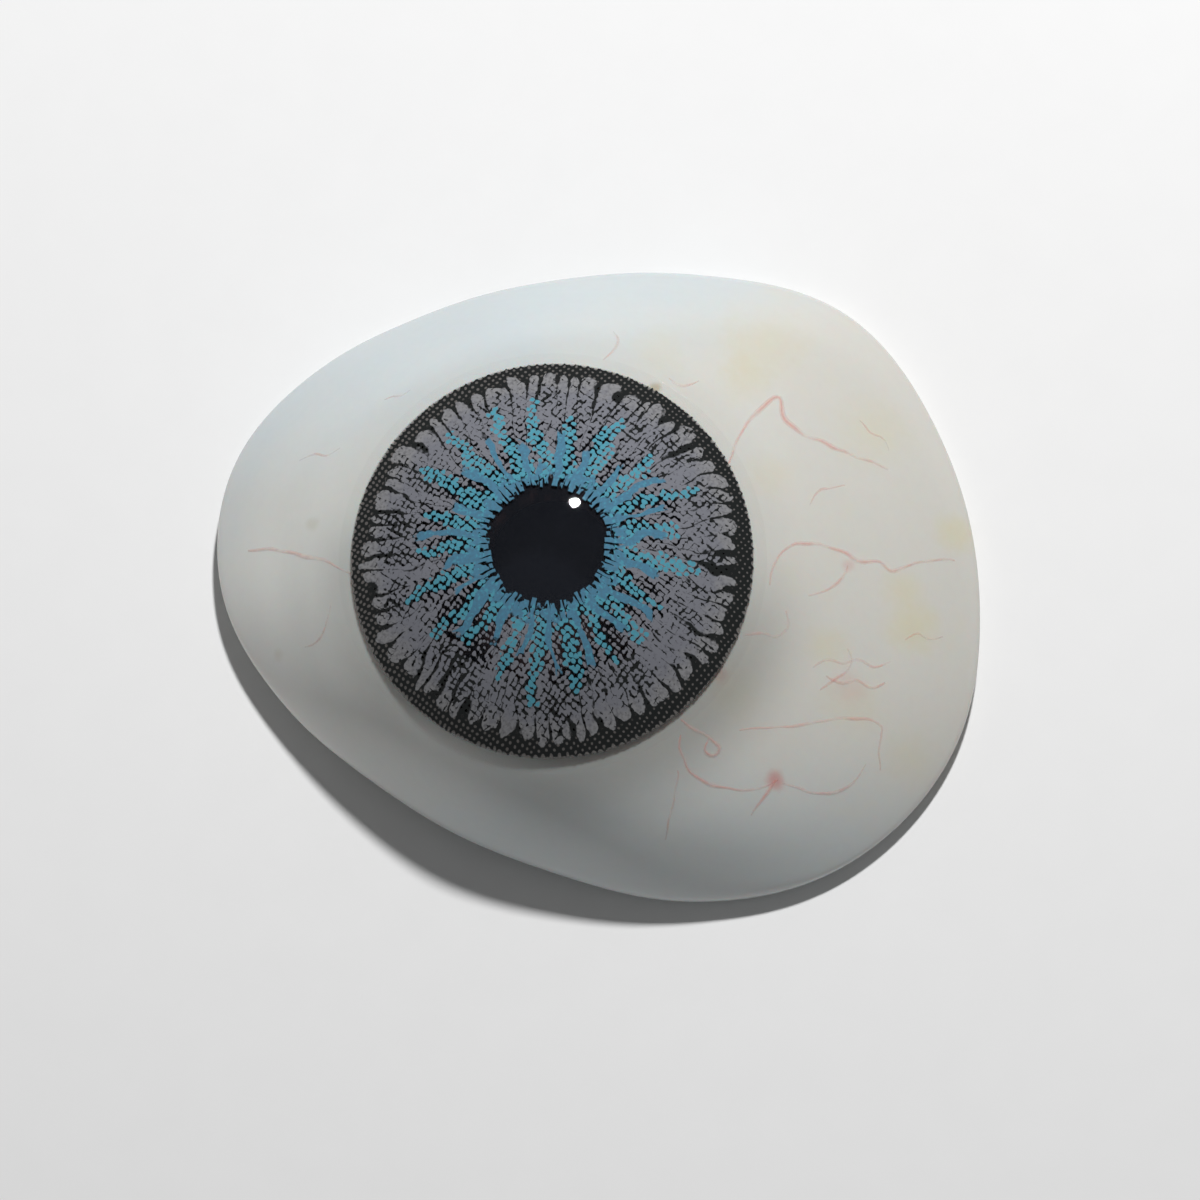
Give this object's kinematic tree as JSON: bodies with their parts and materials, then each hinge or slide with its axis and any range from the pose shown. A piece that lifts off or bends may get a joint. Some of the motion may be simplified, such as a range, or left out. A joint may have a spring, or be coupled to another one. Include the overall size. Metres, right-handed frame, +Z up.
{
  "type": "ocular prosthesis with colored contact lens",
  "caption": "Artificial eye shell of white acrylic with a clear domed cornea over a brown iris, wearing a soft contact lens printed with a blue-grey iris.",
  "frame": {"origin": "on the table, under the middle of the shell's outline", "axes": "+Z up along the optical axis, out of the cornea; +X along the shell's length, away from its pointed end; +Y toward the upper lid's side"},
  "size_m": [0.0248, 0.0208, 0.0085],
  "materials": {
    "white_acrylic": "polished white acrylic",
    "brown_paint": "brown paint",
    "black_paint": "black paint",
    "clear_acrylic": "polished clear acrylic",
    "hydrogel": "clear wet hydrogel",
    "grey_ink": "printed grey ink",
    "black_ink": "printed black ink",
    "teal_ink": "printed teal ink",
    "blue_ink": "printed steel blue ink"
  },
  "bodies": {
    "root": {"scleral_shell": "white_acrylic", "iris_disc": "brown_paint", "pupil_disc": "black_paint", "corneal_button": "clear_acrylic", "contact_lens": "hydrogel", "grey_field": "grey_ink", "limbal_ring": "black_ink", "teal_rays": "teal_ink", "steel_blue_rays": "blue_ink"}
  },
  "joints": []
}
